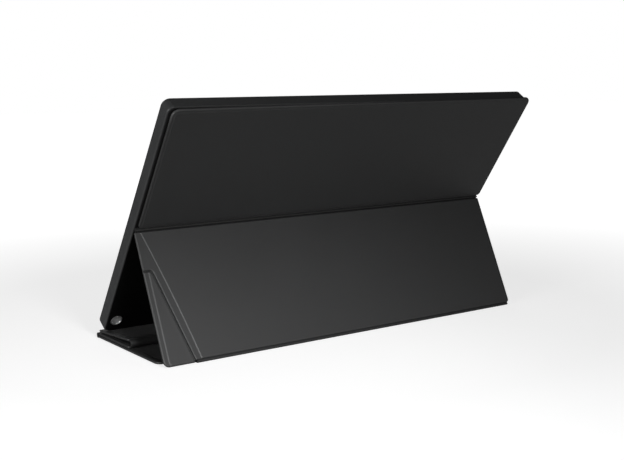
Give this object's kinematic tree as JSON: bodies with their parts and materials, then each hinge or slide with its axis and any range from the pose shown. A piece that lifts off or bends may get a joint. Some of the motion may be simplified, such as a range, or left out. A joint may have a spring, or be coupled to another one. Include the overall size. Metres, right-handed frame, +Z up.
{
  "type": "portable monitor with cover",
  "caption": "Slim portable monitor standing on its own folding leather cover, with a hinged leg, a folded base, a corner flap, buttons, a USB-C socket and a pen hole.",
  "frame": {"origin": "on the floor, at mid width, under the screen's lower front edge", "axes": "+X to the right of a person who looks at the screen, +Y from the screen to the leg of the stand, +Z up"},
  "size_m": [0.3613, 0.1445, 0.1982],
  "materials": {
    "leather": "black grained polyurethane leather, satin",
    "fold_leather": "soft black leather in the folds, satin",
    "lining": "black microfibre, matt",
    "card": "pressed fibre board, hidden",
    "housing": "dark grey moulding, fine texture",
    "bezel": "black moulding, satin",
    "display": "anti-glare display surface, switched off",
    "backlight": "white light guide, hidden",
    "circuit": "green circuit board",
    "flex": "amber flat cable",
    "steel": "zinc plated steel",
    "sleeve": "turned aluminium",
    "light_pipe": "frosted light pipe"
  },
  "bodies": {
    "base": {"base_skin": "leather", "base_board": "card", "base_lining": "lining", "spine_strip": "fold_leather", "foot_fold_strip": "fold_leather", "front_fold_strip": "fold_leather"},
    "leg": {"leg_skin": "leather", "leg_board": "card", "leg_lining": "lining", "crease_strip": "fold_leather", "corner_fold_strip": "fold_leather"},
    "back_panel": {"back_panel_skin": "leather", "back_panel_board": "card", "back_panel_lining": "lining", "back_panel_magnets": "steel"},
    "monitor": {"rear_housing": "housing", "front_bezel": "bezel", "lcd_panel": "display", "backlight_unit": "backlight", "panel_frame": "steel", "control_board": "circuit", "button_board": "circuit", "display_cable": "flex", "usb_c_socket": "steel", "catch_plates": "steel", "frame_screws": "steel", "pen_hole_sleeve": "sleeve", "status_light": "light_pipe"},
    "power_button": {"power_button": "bezel"},
    "menu_button": {"menu_button": "bezel"},
    "corner_flap": {"corner_flap_skin": "leather", "corner_flap_board": "card", "corner_flap_lining": "lining"},
    "middle_panel": {"middle_skin": "leather", "middle_board": "card", "middle_lining": "lining", "rear_fold_strip": "fold_leather"},
    "end_panel": {"end_skin": "leather", "end_board": "card", "end_lining": "lining", "end_magnets": "steel"}
  },
  "joints": [
    {"name": "foot_fold", "type": "hinge", "parent": "base", "child": "leg", "pos_m": [0, 0.11855, 0.0011], "axis": [1, 0, 0], "range_deg": [-80, 0], "deforming": ["foot_fold_strip"]},
    {"name": "crease_fold", "type": "hinge", "parent": "leg", "child": "back_panel", "pos_m": [0, 0.07587, 0.09824], "axis": [-1, 0, 0], "range_deg": [0, 100], "deforming": ["crease_strip"]},
    {"name": "monitor_lift_off", "type": "slide", "parent": "back_panel", "child": "monitor", "axis": [0, -0.8192, 0.5736], "range_m": [0, 0.06]},
    {"name": "corner_fold", "type": "hinge", "parent": "leg", "child": "corner_flap", "pos_m": [0.16367, 0.10391, 0.03618], "axis": [0.2504, -0.3986, 0.8823], "range_deg": [0, 90], "deforming": ["corner_fold_strip"]},
    {"name": "power_press", "type": "slide", "parent": "monitor", "child": "power_button", "axis": [0, 0.8192, -0.5736], "range_m": [0, 0.0005], "stiffness_N_per_m": 400},
    {"name": "menu_press", "type": "slide", "parent": "monitor", "child": "menu_button", "axis": [0, 0.8192, -0.5736], "range_m": [0, 0.0005], "stiffness_N_per_m": 400},
    {"name": "front_fold", "type": "hinge", "parent": "base", "child": "middle_panel", "pos_m": [0, -0.00205, 0.00225], "axis": [1, 0, 0], "range_deg": [0, 136], "deforming": ["front_fold_strip"]},
    {"name": "rear_fold", "type": "hinge", "parent": "middle_panel", "child": "end_panel", "pos_m": [0, 0.05495, 0.0061], "axis": [1, 0, 0], "range_deg": [-104, 0], "deforming": ["rear_fold_strip"]}
  ],
  "couplings": [
    {"joint": "front_fold", "follows": "foot_fold", "ratio": -1.7},
    {"joint": "rear_fold", "follows": "foot_fold", "ratio": 1.3}
  ]
}
